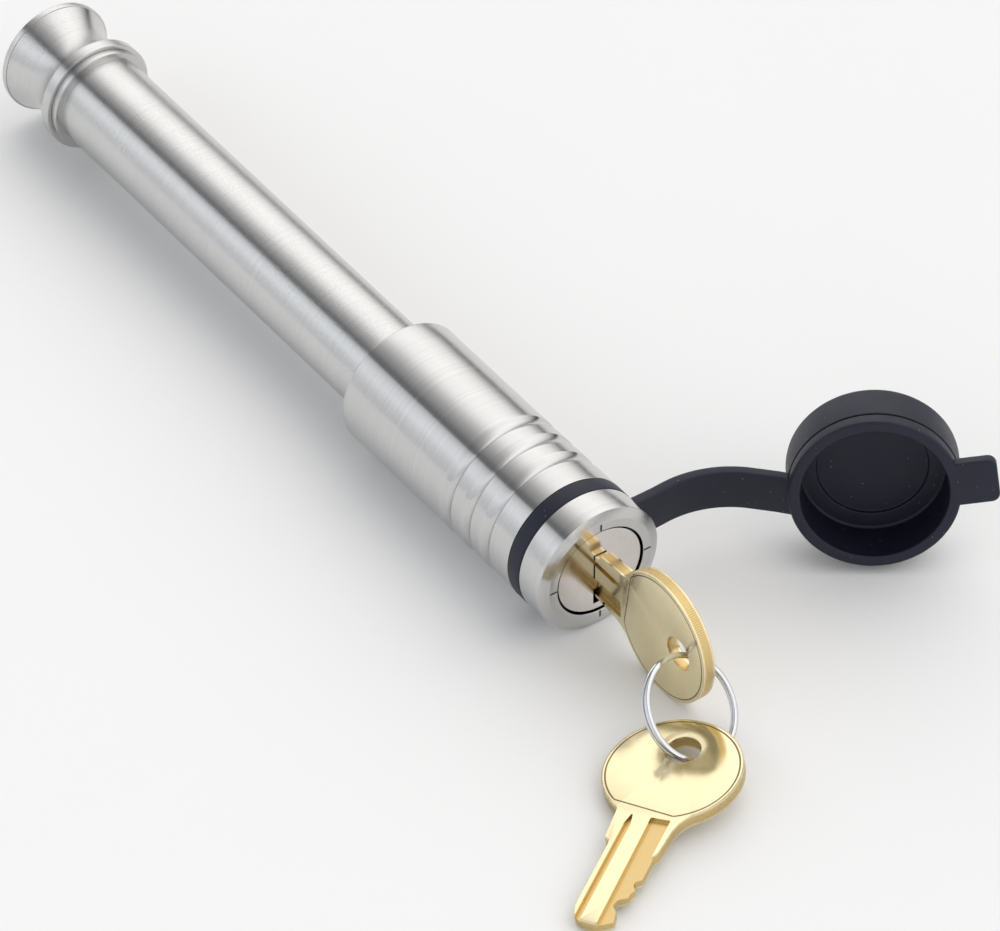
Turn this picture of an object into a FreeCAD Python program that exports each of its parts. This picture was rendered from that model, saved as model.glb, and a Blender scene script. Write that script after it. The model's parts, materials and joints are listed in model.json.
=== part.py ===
"""Hitch pin lock: a 5/8 in stainless hitch pin with a flared grip, a key-operated lock head that holds the
pin's tip between two jaws, a rubber dust cap on a strap, and two keys on a split ring.

Millimetres. The pin lies along X with the lock head at +X, +Z is up, and the origin is on the axis at the
middle of the pin's bare span. The head, the cap and the keys lie on one level surface.
"""
import FreeCAD, Part
import math
import os

os.makedirs("parts", exist_ok=True)

# ---------------------------------------------------------------- driving dimensions
PIN_R = 15.875 / 2          # 5/8 in hitch pin
END_R = 7.7                 # the end that enters the lock head is turned down slightly
END_STEP = 0.3              # the turned-down end begins this far outside the head
SPAN = 85.0                 # bare pin between the collar and the lock head
HEAD_R = 22.225 / 2         # 7/8 in lock head
HEAD_LEN = 52.9
RUN = 0.06                  # radial running clearance of round fits

FACE = SPAN / 2 + HEAD_LEN  # front of the lock head
REAR = SPAN / 2             # rear of the lock head

# flared grip and collar at the pin's far end
COLLAR_R = 9.7
COLLAR_LEN = 1.8
STEP_R = 9.0
STEP_LEN = 1.3
NECK_R = 8.0
NECK_LEN = 10.6
LIP_R = 9.85
LIP_LEN = 1.2

# lock head
BORE_R = END_R + RUN
BORE_END = 37.6             # the pin bore steps down to the inner bore here
INNER_R = 7.7               # bore for the lock cylinder, the scroll and the guide
MOUTH_R = 8.0
MOUTH_DEPTH = 1.0
CHAMFER_X = 0.7
CHAMFER_R = 1.6
GRIP_FIRST = 26.2           # distance behind the front face of the first grip groove's far edge
GRIP_WIDTH = 2.7
GRIP_PITCH = 5.05
GRIP_DEPTH = 0.42
GRIP_COUNT = 3
BAND_BACK = 8.7
BAND_FRONT = 5.6
BAND_FLOOR = 10.0
WEB_FRONT = 24.2
WEB_BACK = 26.4
WEB_HOLE_R = 4.55
MARK_WIDTH = 0.4
MARK_DEPTH = 0.25

# lock cylinder
PLUG_RECESS = 0.3
FLANGE_R = 7.6
FLANGE_LEN = 2.0
BARREL_R = 7.0
SLEEVE_END = 22.0
TAIL_R = 4.4
SQUARE = 5.0
WAFER_T = 1.2
WAFER_HALF = 2.6
WAFER_FIRST = 23.35         # first cut of the key, from its bow's centre
WAFER_PITCH = 2.35
CUT_DEPTHS = (0.85, 0.6, 2.2, 1.1)
WAFER_TOP = 6.45            # top of a wafer raised into its cut
WARD_GAP = 0.1

# locking jaws and the scroll that drives them
CAM_FRONT = 26.6
CAM_PLATE = 2.0
CAM_BACK = 31.2
CAM_R = 7.6
STUD_POCKET_R = 3.7
JAW_FRONT = 31.4
JAW_BACK = 33.7
JAW_HALF = 2.5
JAW_OPEN = 3.8              # nose of an open jaw, from the axis
JAW_TRAVEL = 1.5
BOSS_R = 0.8
BOSS_OPEN = 6.4
GUIDE_BACK = 36.6
RING_T = 0.8

# pin tip
SHAFT_END = 38.0
STUD_R = 3.5
STUD_NECK_R = 2.2
STUD_END = 29.2
STUD_NECK_FROM = 34.0
STUD_NECK_TO = 31.1

# keys: u runs from the bow's centre to the tip, v across, with the uncut back edge at +v
BOW_R = 10.7
BOW_CUT = (8.6, -6.37)      # where the bow runs into the neck on the cut side
BOW_BACK = (9.29, 5.31)     # and on the back
KEY_T = 2.1
KEY_HOLE_U = -4.2
KEY_HOLE_R = 2.75
TIP_U = 32.8
BACK_V = 3.7
EDGE_V = -3.8
BLADE_U = 17.9              # where the shoulder ends and the blade's full width begins
GROOVE_DEPTH = 0.7
GROOVE_V = (1.87, 2.95)
GROOVE_U = 10.4
STEP_V = (-3.76, -0.7)
STEP_U = 10.3
KEY_X = FACE + 16.8         # centre of the inserted key's bow
KEY_Y = 0.1
KEY_Z = -0.45
SPARE_BOW = (FACE + 35.13, -12.01, -8.06)
SPARE_HEADING = (0.5373, -0.8434)
SPARE_DIP = 2.69            # degrees that the spare key's tip points down
SPARE_ROLL = 8.90           # degrees that it leans on the ring about its own length

# split ring: two coils of flat-sided wire side by side
RING_R = 8.13
RING_W = 1.6
RING_H = 0.9
RING_AT = (FACE + 28.14, -3.86, -4.53)
RING_NORMAL = (0.6692, 0.2149, 0.7113)

# rubber band, strap and dust cap
BAND_R = 11.15
STRAP_T = 1.9
STRAP_HALF = 3.6
STRAP_X = FACE - 6.75
FLEX_ROOT_Y = 15.0
STRAP_ARC_Y = 17.0
STRAP_ARC_R = 15.7
STRAP_TURN = 50.0
STRAP_TAIL = 4.2
STUB_REACH = 2.95           # end of the strap inside the cap's wall, past the second flex line
FLEX_GAP = 0.25
STRAP_RISE = (0.5, 1.1)     # height of the strap and of its end in the cap above the pin's axis
CAP_R = 13.3
CAP_LEN = 10.0
CAP_CAVITY_R = 11.35
CAP_CAVITY_LEN = 7.9
CAP_FLOOR_R = 8.6
CAP_FLOOR_LEN = 8.5
CAP_AT = (FACE + 13.4, 41.7, 3.5)
CAP_AZIMUTH = -35.2
CAP_TILT = 8.4
CAP_ROLL = 8.0
TAB_REACH = 18.9
TAB_HALF = 3.8

V = FreeCAD.Vector
X_AXIS = V(1, 0, 0)
BIG = 60.0


# ---------------------------------------------------------------- helpers
def cylinder(x0, x1, radius):
    """Solid of the given radius about the pin's axis from x0 to x1."""
    return Part.makeCylinder(radius, x1 - x0, V(x0, 0, 0), X_AXIS)


def tube(x0, x1, inner, outer):
    return cylinder(x0, x1, outer).cut(cylinder(x0 - 1, x1 + 1, inner))


def block(x0, x1, y0, y1, z0, z1):
    return Part.makeBox(x1 - x0, y1 - y0, z1 - z0, V(x0, y0, z0))


def lathe(edges):
    """Solid of revolution about X from a closed loop of edges in the XY half plane."""
    return Part.Face(Part.Wire(edges)).revolve(V(0, 0, 0), X_AXIS, 360)


def polyline(points):
    return [Part.LineSegment(V(*a), V(*b)).toShape() for a, b in zip(points, points[1:])]


def arc(a, b, c):
    return Part.Arc(V(*a), V(*b), V(*c)).toShape()


def save(shape, node):
    shape.exportStep("parts/" + node + ".step")


# ---------------------------------------------------------------- hitch pin
def hitch_pin():
    """Flared grip, collar, bare shaft and the necked stud that the jaws grip, turned from one bar."""
    collar_front = -SPAN / 2
    step_back = collar_front - STEP_LEN
    collar_back = step_back - COLLAR_LEN
    neck_back = collar_back - NECK_LEN
    end = neck_back - LIP_LEN
    tip = FACE - STUD_END
    shaft_end = FACE - SHAFT_END
    neck_from = FACE - STUD_NECK_FROM
    neck_to = FACE - STUD_NECK_TO
    bevel = 0.4
    edges = polyline([(end, 0, 0), (end, LIP_R - bevel, 0), (end + bevel, LIP_R, 0), (neck_back, LIP_R, 0),
                      (neck_back, COLLAR_R, 0)])
    edges.append(arc((neck_back, COLLAR_R, 0), ((neck_back + collar_back) / 2, NECK_R, 0),
                     (collar_back, COLLAR_R, 0)))
    edges += polyline([(collar_back, COLLAR_R, 0), (step_back - bevel / 2, COLLAR_R, 0),
                       (step_back, COLLAR_R - bevel / 2, 0), (step_back, STEP_R, 0),
                       (collar_front - bevel / 2, STEP_R, 0), (collar_front, STEP_R - bevel / 2, 0),
                       (collar_front, PIN_R, 0), (REAR - END_STEP, PIN_R, 0), (REAR - END_STEP, END_R, 0),
                       (shaft_end - 2 * bevel, END_R, 0), (shaft_end, END_R - 2 * bevel, 0),
                       (shaft_end, STUD_R, 0), (neck_from, STUD_R, 0),
                       (neck_from, STUD_NECK_R, 0), (neck_to, STUD_NECK_R, 0), (neck_to, STUD_R, 0),
                       (tip - 2 * bevel, STUD_R, 0), (tip, STUD_R - 2 * bevel, 0), (tip, 0, 0),
                       (end, 0, 0)])
    return lathe(edges)


# ---------------------------------------------------------------- lock head
def head_shell():
    """Turned body: pin bore at the rear, cylinder bore at the front, a web between them."""
    edge = 0.5
    edges = polyline([(REAR, BORE_R, 0), (REAR, HEAD_R - edge, 0), (REAR + edge, HEAD_R, 0),
                      (FACE - CHAMFER_X, HEAD_R, 0), (FACE, HEAD_R - CHAMFER_R, 0), (FACE, MOUTH_R, 0),
                      (FACE - MOUTH_DEPTH, MOUTH_R, 0), (FACE - MOUTH_DEPTH, INNER_R, 0),
                      (FACE - WEB_FRONT, INNER_R, 0), (FACE - WEB_FRONT, WEB_HOLE_R, 0),
                      (FACE - WEB_BACK, WEB_HOLE_R, 0), (FACE - WEB_BACK, INNER_R, 0),
                      (FACE - BORE_END, INNER_R, 0), (FACE - BORE_END, BORE_R, 0), (REAR, BORE_R, 0)])
    shell = lathe(edges)
    for k in range(GRIP_COUNT):
        shell = shell.cut(grip_groove(FACE - GRIP_FIRST + k * GRIP_PITCH))
    shell = shell.cut(tube(FACE - BAND_BACK, FACE - BAND_FRONT, BAND_FLOOR, HEAD_R + 1))
    shell = shell.cut(tube(FACE - GUIDE_BACK - RING_T - 0.1, FACE - GUIDE_BACK, INNER_R - 1, INNER_R + 0.7))
    shell = shell.cut(tube(REAR + 2.5, REAR + 3.5, BORE_R - 1, BORE_R + 0.9))
    for k in range(4):
        mark = block(FACE - MARK_DEPTH, FACE + 1, -MARK_WIDTH / 2, MARK_WIDTH / 2,
                     BORE_R - 1, HEAD_R - CHAMFER_R)
        mark.rotate(V(0, 0, 0), X_AXIS, 90 * k)
        shell = shell.cut(mark)
    return shell


def grip_groove(x0):
    """Shallow round-bottomed groove cut by a ring of circular section."""
    x1 = x0 + GRIP_WIDTH
    edges = [arc((x0, HEAD_R, 0), ((x0 + x1) / 2, HEAD_R - GRIP_DEPTH, 0), (x1, HEAD_R, 0))]
    edges += polyline([(x1, HEAD_R, 0), (x1, HEAD_R + 1, 0), (x0, HEAD_R + 1, 0), (x0, HEAD_R, 0)])
    return lathe(edges)


def pin_seal():
    """Round-section seal in the groove just inside the pin bore's mouth."""
    section = 0.42
    return Part.makeTorus(END_R + 0.03 + section, section, V(REAR + 3.0, 0, 0), X_AXIS)


def jaw_guide():
    """Disc fixed behind the jaws, with the channel that they slide in and the hole for the stud."""
    guide = tube(FACE - GUIDE_BACK + 0.05, FACE - CAM_BACK - 0.1, STUD_POCKET_R, INNER_R - 0.02)
    channel = block(FACE - JAW_BACK - 0.08, FACE, -BIG, BIG, -JAW_HALF - RUN, JAW_HALF + RUN)
    return guide.cut(channel)


def guide_ring():
    """Internal snap ring that holds the guide."""
    back = FACE - GUIDE_BACK - RING_T
    ring = tube(back, back + RING_T, INNER_R - 1.4, INNER_R + 0.55)
    return ring.cut(block(back - 1, back + RING_T + 1, -2.2, 2.2, 0, BIG))


# ---------------------------------------------------------------- lock cylinder
def wafer_x(index):
    """Middle of a wafer slot along X."""
    return KEY_X - WAFER_FIRST - WAFER_PITCH * index


def cylinder_sleeve():
    """Fixed sleeve round the plug, slotted above and below for the wafers."""
    sleeve = tube(FACE - SLEEVE_END, FACE - PLUG_RECESS - FLANGE_LEN - 0.1, BARREL_R + RUN, INNER_R - 0.02)
    first = wafer_x(0) + WAFER_T
    last = wafer_x(len(CUT_DEPTHS) - 1) - WAFER_T
    return sleeve.cut(block(last, first, -WAFER_HALF - 0.2, WAFER_HALF + 0.2, -BIG, BIG))


def plug():
    """Rotating plug with its flange, keyway, wafer slots, spring pockets, clip groove and square tail."""
    face = FACE - PLUG_RECESS
    barrel_end = FACE - SLEEVE_END - 0.1
    tail_end = FACE - CAM_FRONT + 0.1
    body = cylinder(face - FLANGE_LEN, face, FLANGE_R)
    body = body.fuse(cylinder(barrel_end, face - FLANGE_LEN, BARREL_R))
    body = body.fuse(cylinder(tail_end, barrel_end, TAIL_R))
    square_end = FACE - CAM_FRONT - CAM_PLATE + 0.1
    body = body.fuse(block(square_end, tail_end, -SQUARE / 2, SQUARE / 2, -SQUARE / 2, SQUARE / 2))
    body = body.cut(tube(FACE - 24.0, FACE - 23.0, 3.4, TAIL_R + 1))
    body = body.cut(keyway())
    for k in range(len(CUT_DEPTHS)):
        x0 = wafer_x(k) - WAFER_T / 2 - 0.08
        x1 = wafer_x(k) + WAFER_T / 2 + 0.08
        body = body.cut(block(x0, x1, -WAFER_HALF - 0.08, WAFER_HALF + 0.08, -6.1, BIG))
        body = body.cut(block(x0, x1, WAFER_HALF - 1, 5.4, -4.2, 2.2))
    return body.removeSplitter()


def keyway():
    """Slot for the key, with the two wards that run in the key's grooves."""
    gap = 0.15
    back = KEY_X - TIP_U - 0.6
    side = KEY_Y - KEY_T / 2
    ward_y = side + GROOVE_DEPTH - WARD_GAP
    slot = block(back, FACE + 1, side - gap, KEY_Y + KEY_T / 2 + gap, -6.4, KEY_Z + BACK_V + gap)
    slot = slot.cut(block(back - 1, FACE + 2, side - 1, ward_y,
                          KEY_Z + GROOVE_V[0] + WARD_GAP, KEY_Z + GROOVE_V[1] - WARD_GAP))
    return slot.cut(block(back - 1, FACE + 2, side - 1, ward_y,
                          KEY_Z + STEP_V[0] + 0.8, KEY_Z + STEP_V[1] - 0.2))


def wafer(index):
    """Windowed plate on a spring, drawn at the height it has while the key's full width passes it."""
    x = wafer_x(index)
    top = WAFER_TOP - CUT_DEPTHS[index]
    plate = block(x - WAFER_T / 2, x + WAFER_T / 2, -WAFER_HALF, WAFER_HALF, -5.95, top)
    plate = plate.fuse(block(x - WAFER_T / 2, x + WAFER_T / 2, WAFER_HALF - 0.5, 5.2, -1.3, -0.2))
    window = block(x - 1, x + 1, -1.4, 1.6, KEY_Z + EDGE_V - 0.12, KEY_Z + BACK_V + 0.3)
    return plate.cut(window).removeSplitter()


def wafer_spring(index):
    """Small coil spring between a wafer's ear and its pocket in the plug."""
    wire = 0.13
    coil_r = 0.42
    bottom = -4.2 + wire + 0.02
    top = -1.3 - wire - 0.02
    helix = Part.makeHelix((top - bottom) / 5, top - bottom, coil_r)
    profile = Part.Wire(Part.makeCircle(wire, V(coil_r, 0, 0), V(0, 1, 0)))
    spring = Part.Wire(helix).makePipeShell([profile], True, True)
    spring.translate(V(wafer_x(index), 4.3, bottom))
    return spring


def plug_clip():
    """Open clip in the groove of the plug's tail, behind the sleeve."""
    clip = tube(FACE - 23.95, FACE - 23.05, 3.5, 6.6)
    return clip.cut(block(FACE - 25, FACE - 22, -2.6, 2.6, 0, BIG))


# ---------------------------------------------------------------- scroll and jaws
def spiral_slot(side):
    """Slot that carries a jaw's boss inwards by the jaw's travel over a quarter turn of the scroll."""
    half = BOSS_R + RUN

    def at(turn, offset):
        radius = BOSS_OPEN - JAW_TRAVEL * turn / 90 + offset
        angle = math.radians(90 * side - turn)
        return V(0, radius * math.sin(angle), radius * math.cos(angle))

    def beyond(turn, step):
        tangent = at(turn + 1, 0) - at(turn - 1, 0)
        return at(turn, 0) + tangent.normalize() * (half * step)

    edges = [Part.Arc(at(0, half), at(45, half), at(90, half)).toShape(),
             Part.Arc(at(90, half), beyond(90, 1), at(90, -half)).toShape(),
             Part.Arc(at(90, -half), at(45, -half), at(0, -half)).toShape(),
             Part.Arc(at(0, -half), beyond(0, -1), at(0, half)).toShape()]
    slot = Part.Face(Part.Wire(edges)).extrude(V(CAM_BACK - CAM_FRONT - CAM_PLATE, 0, 0))
    slot.translate(V(FACE - CAM_BACK - 0.3, 0, 0))
    return slot


def scroll_cam():
    """Cup on the plug's square tail whose two spiral slots move the jaws."""
    cam = cylinder(FACE - CAM_BACK, FACE - CAM_FRONT, CAM_R)
    cam = cam.cut(cylinder(FACE - CAM_BACK - 1, FACE - CAM_FRONT - CAM_PLATE, STUD_POCKET_R))
    hole = SQUARE / 2 + 0.04
    cam = cam.cut(block(FACE - CAM_BACK, FACE - CAM_FRONT + 1, -hole, hole, -hole, hole))
    return cam.cut(spiral_slot(1)).cut(spiral_slot(-1))


def jaw(side):
    """Sliding jaw with a flat nose for the stud's neck and a boss for the scroll's slot."""
    reach = cylinder(FACE - JAW_BACK, FACE - JAW_FRONT, CAM_R)
    body = block(FACE - JAW_BACK, FACE - JAW_FRONT, JAW_OPEN, BIG, -JAW_HALF, JAW_HALF).common(reach)
    boss = Part.makeCylinder(BOSS_R, 2.2, V(FACE - JAW_FRONT, BOSS_OPEN, 0), X_AXIS)
    body = body.fuse(boss)
    if side < 0:
        body.rotate(V(0, 0, 0), X_AXIS, 180)
    return body


# ---------------------------------------------------------------- keys
def key_profile():
    """Key seen flat: bow, neck, shoulders and the blade with its cuts on the -v edge."""
    back = [BOW_BACK, (9.9, 5.1), (15.6, 4.7), (16.05, BACK_V + 0.1), (17.0, BACK_V), (29.8, BACK_V),
            (31.6, 3.2), (32.5, 1.7), (TIP_U, -0.4), (31.4, -2.9)]
    cuts = [(29.35, -2.5), (28.05, -1.5), (26.95, -1.8), (26.1, -3.2), (25.35, -3.15), (24.55, -3.6),
            (23.65, -3.0), (22.9, -2.95), (22.2, EDGE_V)]
    neck = [(BLADE_U, EDGE_V), (17.2, -4.25), (16.4, -4.4), (12.0, -4.75), (10.5, -5.15), (9.4, -5.75),
            BOW_CUT]
    edges = polyline([(u, v, 0) for u, v in back + cuts + neck])
    edges.append(arc((BOW_CUT[0], BOW_CUT[1], 0), (-BOW_R, 0, 0), (BOW_BACK[0], BOW_BACK[1], 0)))
    return Part.Face(Part.Wire(edges))


def flat_key():
    """Key with its ring hole, the groove and the milled step of its face, centred on its own thickness."""
    low = -KEY_T / 2
    floor = low + GROOVE_DEPTH
    key = key_profile().extrude(V(0, 0, KEY_T))
    key.translate(V(0, 0, low))
    key = key.cut(Part.makeCylinder(KEY_HOLE_R, KEY_T + 2, V(KEY_HOLE_U, 0, low - 1)))
    key = key.cut(block(GROOVE_U, TIP_U + 1, GROOVE_V[0], GROOVE_V[1], low - 1, floor))
    half = (GROOVE_V[1] - GROOVE_V[0]) / 2
    key = key.cut(Part.makeCylinder(half, floor - low + 1, V(GROOVE_U, GROOVE_V[0] + half, low - 1)))
    key = key.cut(block(STEP_U, TIP_U + 1, STEP_V[0], STEP_V[1], low - 1, floor))
    return key.cut(block(BLADE_U, TIP_U + 1, EDGE_V - 1, STEP_V[1], low - 1, floor))


def place_key(key, centre, along, across):
    """Move a flat key so that its u axis lies along one direction and its v axis along another."""
    u = V(*along).normalize()
    v = V(*across).normalize()
    w = u.cross(v)
    matrix = FreeCAD.Matrix(u.x, v.x, w.x, centre[0], u.y, v.y, w.y, centre[1],
                            u.z, v.z, w.z, centre[2], 0, 0, 0, 1)
    placed = key.copy()
    placed.Placement = FreeCAD.Placement(matrix)
    return placed


def inserted_key():
    return place_key(flat_key(), (KEY_X, KEY_Y, KEY_Z), (-1, 0, 0), (0, 0, 1))


def spare_key():
    dip = math.radians(SPARE_DIP)
    along = (SPARE_HEADING[0] * math.cos(dip), SPARE_HEADING[1] * math.cos(dip), -math.sin(dip))
    level = V(SPARE_HEADING[1], -SPARE_HEADING[0], 0)
    roll = math.radians(SPARE_ROLL)
    across = level * math.cos(roll) + V(*along).cross(level) * math.sin(roll)
    return place_key(flat_key(), SPARE_BOW, along, across)


def split_ring():
    """Key ring, as one closed ring of the two coils' outer section."""
    outer = Part.makeCylinder(RING_R + RING_H / 2, RING_W, V(0, 0, -RING_W / 2))
    ring = outer.cut(Part.makeCylinder(RING_R - RING_H / 2, RING_W + 2, V(0, 0, -RING_W / 2 - 1)))
    ring = ring.makeFillet(0.25, ring.Edges)
    normal = V(*RING_NORMAL).normalize()
    ring.Placement = FreeCAD.Placement(V(*RING_AT), FreeCAD.Rotation(V(0, 0, 1), normal))
    return ring


# ---------------------------------------------------------------- rubber band, strap and cap
def cap_band():
    """Rubber band in the head's groove with the root of the strap."""
    band = tube(FACE - BAND_BACK + 0.05, FACE - BAND_FRONT - 0.05, BAND_FLOOR + 0.03, BAND_R)
    root_end = FLEX_ROOT_Y - STRAP_T / 2 - FLEX_GAP
    root = block(STRAP_X - STRAP_T / 2, STRAP_X + STRAP_T / 2, 0, root_end, -STRAP_HALF, STRAP_HALF)
    root = root.cut(cylinder(FACE - BIG, FACE + BIG, BAND_R - 0.4))
    band = band.fuse(root)
    return band.removeSplitter()


def strap_end():
    """Point of the second flex line and the strap's heading there."""
    turn = math.radians(STRAP_TURN)
    x = STRAP_X + STRAP_ARC_R * (1 - math.cos(turn)) + STRAP_TAIL * math.sin(turn)
    y = STRAP_ARC_Y + STRAP_ARC_R * math.sin(turn) + STRAP_TAIL * math.cos(turn)
    return V(x, y, 0), V(math.sin(turn), math.cos(turn), 0)


def strap():
    """Flat strap between the two flex lines: straight, a wide bend, straight."""
    centre = V(STRAP_X + STRAP_ARC_R, STRAP_ARC_Y, 0)
    end, heading = strap_end()
    half = STRAP_T / 2

    def on_bend(degrees, offset):
        angle = math.radians(degrees)
        radius = STRAP_ARC_R + offset
        return centre + V(-radius * math.cos(angle), radius * math.sin(angle), 0)

    side = V(-heading.y, heading.x, 0)
    root = V(STRAP_X, FLEX_ROOT_Y, 0)
    left = V(-1, 0, 0)
    edges = [Part.LineSegment(root + left * half, on_bend(0, half)).toShape(),
             Part.Arc(on_bend(0, half), on_bend(STRAP_TURN / 2, half), on_bend(STRAP_TURN, half)).toShape(),
             Part.LineSegment(on_bend(STRAP_TURN, half), end + side * half).toShape(),
             Part.Arc(end + side * half, end + heading * half, end - side * half).toShape(),
             Part.LineSegment(end - side * half, on_bend(STRAP_TURN, -half)).toShape(),
             Part.Arc(on_bend(STRAP_TURN, -half), on_bend(STRAP_TURN / 2, -half),
                      on_bend(0, -half)).toShape(),
             Part.LineSegment(on_bend(0, -half), root - left * half).toShape(),
             Part.Arc(root - left * half, root - V(0, half, 0), root + left * half).toShape()]
    body = Part.Face(Part.Wire(edges)).extrude(V(0, 0, 2 * STRAP_HALF))
    body.translate(V(0, 0, STRAP_RISE[0] - STRAP_HALF))
    return body


def dust_cap():
    """Cap with its stepped cavity, pull tab and the end of the strap, in one moulding."""
    lip = 2.3
    bevel = 0.8
    edges = polyline([(-CAP_LEN, 0, 0), (-CAP_LEN, CAP_R - bevel, 0), (-CAP_LEN + bevel, CAP_R, 0),
                      (-lip, CAP_R, 0), (-lip, CAP_R - 0.35, 0), (-bevel / 2, CAP_R - 0.35, 0),
                      (0, CAP_R - 0.35 - bevel / 2, 0), (0, CAP_CAVITY_R, 0),
                      (-CAP_CAVITY_LEN, CAP_CAVITY_R, 0), (-CAP_CAVITY_LEN, CAP_FLOOR_R, 0),
                      (-CAP_FLOOR_LEN, CAP_FLOOR_R, 0), (-CAP_FLOOR_LEN, 0, 0), (-CAP_LEN, 0, 0)])
    cap = lathe(edges)
    tab = block(-STRAP_T, 0, CAP_CAVITY_R + 0.5, TAB_REACH, -TAB_HALF, TAB_HALF)
    corners = [e for e in tab.Edges if e.BoundBox.YMin > TAB_REACH - 0.01 and e.BoundBox.ZLength < 0.01]
    cap = cap.fuse(tab.makeFillet(1.4, corners)).removeSplitter()
    cap.rotate(V(0, 0, 0), X_AXIS, CAP_ROLL)
    cap.rotate(V(0, 0, 0), V(0, 1, 0), -CAP_TILT)
    cap.rotate(V(0, 0, 0), V(0, 0, 1), CAP_AZIMUTH)
    cap.translate(V(*CAP_AT))
    return cap.fuse(strap_stub()).removeSplitter()


def strap_stub():
    """Short piece of strap from the second flex line into the cap's wall."""
    end, heading = strap_end()
    stub = block(-STRAP_T / 2, STRAP_T / 2, STRAP_T / 2 + FLEX_GAP, STUB_REACH,
                 STRAP_RISE[1] - STRAP_HALF, STRAP_RISE[1] + STRAP_HALF)
    stub.rotate(V(0, 0, 0), V(0, 0, 1), -STRAP_TURN)
    stub.translate(end)
    return stub


# ---------------------------------------------------------------- build
def main():
    save(hitch_pin(), "hitch_pin")
    save(head_shell(), "head_shell")
    save(pin_seal(), "pin_seal")
    save(jaw_guide(), "jaw_guide")
    save(guide_ring(), "guide_ring")
    save(cylinder_sleeve(), "cylinder_sleeve")
    save(plug(), "plug")
    save(plug_clip(), "plug_clip")
    save(scroll_cam(), "scroll_cam")
    save(jaw(1), "jaw_left")
    save(jaw(-1), "jaw_right")
    for k in range(len(CUT_DEPTHS)):
        save(wafer(k), "wafer_%d" % (k + 1))
        save(wafer_spring(k), "wafer_spring_%d" % (k + 1))
    save(inserted_key(), "key")
    save(split_ring(), "split_ring")
    save(spare_key(), "spare_key")
    save(cap_band(), "cap_band")
    save(strap(), "strap")
    save(dust_cap(), "dust_cap")


main()
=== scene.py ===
"""Looks of the hitch pin lock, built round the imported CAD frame. Sizes below are in millimetres."""
import json
import math

import bmesh
import bpy
from mathutils import Matrix, Vector


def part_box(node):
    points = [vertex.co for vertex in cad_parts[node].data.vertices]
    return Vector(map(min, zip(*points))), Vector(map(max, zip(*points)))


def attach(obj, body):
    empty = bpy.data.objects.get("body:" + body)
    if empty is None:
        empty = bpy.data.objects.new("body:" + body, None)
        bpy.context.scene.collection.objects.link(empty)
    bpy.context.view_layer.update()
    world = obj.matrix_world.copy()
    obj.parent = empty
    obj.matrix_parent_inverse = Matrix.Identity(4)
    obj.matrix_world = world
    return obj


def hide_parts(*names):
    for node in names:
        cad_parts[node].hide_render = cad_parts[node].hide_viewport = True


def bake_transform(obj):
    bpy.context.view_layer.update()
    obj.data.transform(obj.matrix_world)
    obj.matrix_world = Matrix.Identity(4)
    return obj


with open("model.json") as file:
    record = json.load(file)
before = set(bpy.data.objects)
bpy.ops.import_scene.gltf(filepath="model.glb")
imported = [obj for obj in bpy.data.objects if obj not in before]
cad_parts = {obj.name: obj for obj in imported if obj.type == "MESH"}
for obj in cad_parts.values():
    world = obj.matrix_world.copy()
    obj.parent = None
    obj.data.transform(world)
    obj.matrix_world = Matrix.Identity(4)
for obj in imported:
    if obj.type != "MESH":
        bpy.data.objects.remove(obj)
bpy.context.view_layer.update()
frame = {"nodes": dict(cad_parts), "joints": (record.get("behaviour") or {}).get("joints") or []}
MM = 0.001
JOINTS = {joint["name"]: joint for joint in frame["joints"]}


# ------------------------------------------------------------------ places taken from the frame
def box_mm(node):
    low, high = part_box(node)
    return low / MM, high / MM


def joint_point(name):
    return Vector(JOINTS[name]["pos_m"]) / MM


HEAD_LOW, HEAD_HIGH = box_mm("head_shell")
FACE = HEAD_HIGH.x
REAR = HEAD_LOW.x
HEAD_R = HEAD_HIGH.z
PIN_LOW, PIN_HIGH = box_mm("hitch_pin")
KEY_LOW, KEY_HIGH = box_mm("key")
BAND_LOW, BAND_HIGH = box_mm("cap_band")

# pin, from the grip to the stud that the jaws hold
PIN_R = 7.9375
END_R = 7.7
COLLAR_FRONT = -REAR
COLLAR_STEP_LEN = 1.3
COLLAR_LEN = 1.8
COLLAR_R = 9.7
STEP_R = 9.0
STEP_UNDERCUT = (0.2, 0.18)         # length and depth
SHAFT_UNDERCUT = (0.3, 0.12)
SHAFT_BEVEL = 0.2
NECK_LEN = 10.6
NECK_R = 8.0
LIP_R = 9.85
LIP_STEP = 0.05
END_STEP = 0.3                      # turned-down end starts this far outside the head
SHAFT_END = FACE - 38.0
STUD_R = 3.5
STUD_NECK_R = 2.2
STUD_NECK = (FACE - 34.0, FACE - 31.1)     # from and to
END_BEVEL = 0.8

# head
BORE_R = 7.76
BORE_END = FACE - 37.6
INNER_R = 7.7
MOUTH_R = 8.0
MOUTH_DEPTH = 1.0
WALL = (FACE - 26.4, FACE - 24.2)   # between the cylinder and the jaws
WALL_HOLE_R = 4.55
GRIP_GROOVES = 3
GRIP_FIRST = FACE - 26.2
GRIP_PITCH = 5.05
GRIP_WIDTH = 2.7
GRIP_DEPTH = 0.42
BAND_SLOT = (FACE - 8.7, FACE - 5.6)
BAND_R = 11.15
BAND_FLOOR = 10.0
NOSE_BEVEL = (0.7, 1.6)             # length and depth
HEAD_SPLIT = 5.0                    # from the rear, where the outline starts and ends

# marks cut in the nose's front face, and painted shade for the gap round the plug
MARK_HALF = 0.17
MARK_RADII = (8.1, 9.375)

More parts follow.
